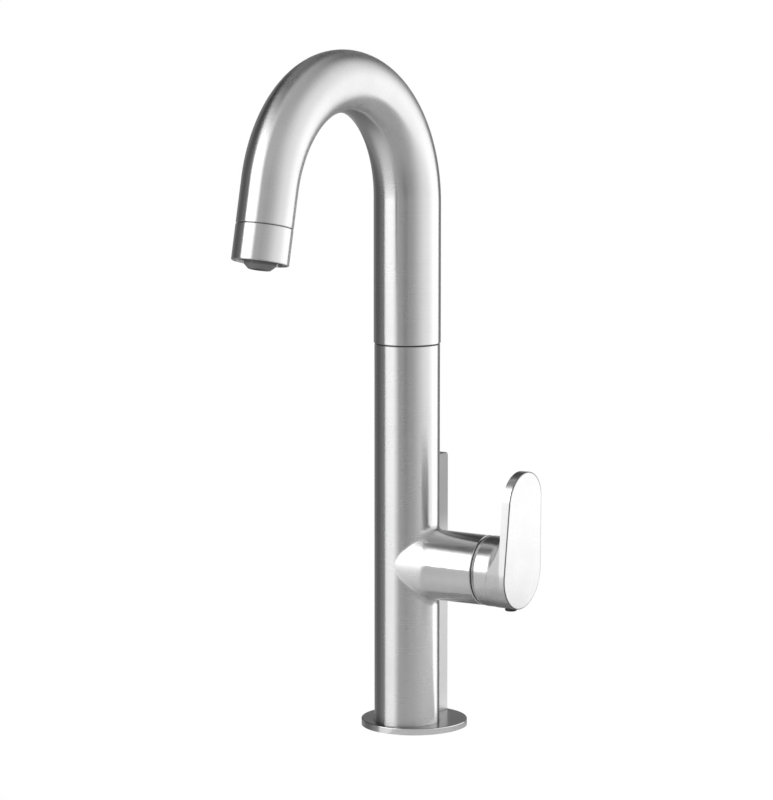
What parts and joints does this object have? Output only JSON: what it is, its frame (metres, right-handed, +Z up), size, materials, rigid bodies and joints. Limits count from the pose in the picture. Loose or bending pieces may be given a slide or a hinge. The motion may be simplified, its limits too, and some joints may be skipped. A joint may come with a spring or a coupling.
{
  "type": "pull-down bar faucet",
  "caption": "Single-lever pull-down bar faucet with a tapered swivelling gooseneck, a short spray head, a side lever on a hub and a flat rear spine on a round base flange.",
  "frame": {"origin": "on the column's axis, in the plane of the deck that the base flange stands on", "axes": "+Z up along the column, -Y towards the spout's outlet, +X along the hub towards the lever"},
  "size_m": [0.1115, 0.2019, 0.4574],
  "materials": {
    "brushed_nickel": "brushed nickel",
    "flange_plate": "satin, turned",
    "spray_shell_metal": "brushed nickel",
    "lever_metal": "brushed nickel",
    "black_plastic": "black, moulded",
    "grey_plastic": "grey, moulded",
    "white_plastic": "natural acetal",
    "rubber": "black rubber",
    "brass": "machined brass",
    "plain_steel": "plain steel",
    "zinc_steel": "zinc plated",
    "magnet": "nickel plated",
    "ceramic": "polished alumina ceramic",
    "hose_braid": "woven nylon braid"
  },
  "bodies": {
    "base": {"base_flange": "flange_plate", "flange_gasket": "rubber", "column": "brushed_nickel", "rear_spine": "brushed_nickel", "mounting_shank": "brass", "hose_guide": "white_plastic", "rubber_washer": "rubber", "steel_washer": "zinc_steel", "lock_nut": "brass", "swivel_post": "brass", "glide_ring": "white_plastic", "lower_bush": "white_plastic", "upper_bush": "white_plastic", "retaining_clip": "plain_steel", "valve_core": "brass", "port_seal": "rubber", "cartridge_base": "white_plastic", "fixed_disc": "ceramic", "cartridge_housing": "white_plastic", "ring_nut": "brass", "trim_ring": "black_plastic"},
    "spout": {"spout_tube": "brushed_nickel", "swivel_collar": "brass", "dock": "black_plastic", "dock_magnet": "magnet", "spray_hose": "hose_braid"},
    "spray_head": {"spray_shell": "spray_shell_metal", "spray_body": "black_plastic", "catch_ring": "plain_steel", "spray_face": "black_plastic", "aerator_seal": "rubber", "aerator": "grey_plastic", "aerator_screen": "grey_plastic", "check_valve": "white_plastic", "hose_seal": "rubber", "hose_fitting": "brass", "hose_ferrule": "plain_steel"},
    "lever": {"lever": "lever_metal", "clamp_screw": "plain_steel", "screw_cap": "black_plastic", "valve_stem": "plain_steel", "moving_disc": "ceramic"}
  },
  "joints": [
    {"name": "spout_swivel", "type": "hinge", "parent": "base", "child": "spout", "pos_m": [0, 0, 0.222], "axis": [0, 0, 1], "range_deg": [-70, 70]},
    {"name": "spray_pull", "type": "slide", "parent": "spout", "child": "spray_head", "axis": [0, -0.225, -0.9744], "range_m": [0, 0.27]},
    {"name": "handle_turn", "type": "hinge", "parent": "base", "child": "lever", "pos_m": [0, 0, 0.098], "axis": [1, 0, 0], "range_deg": [0, 90]}
  ]
}
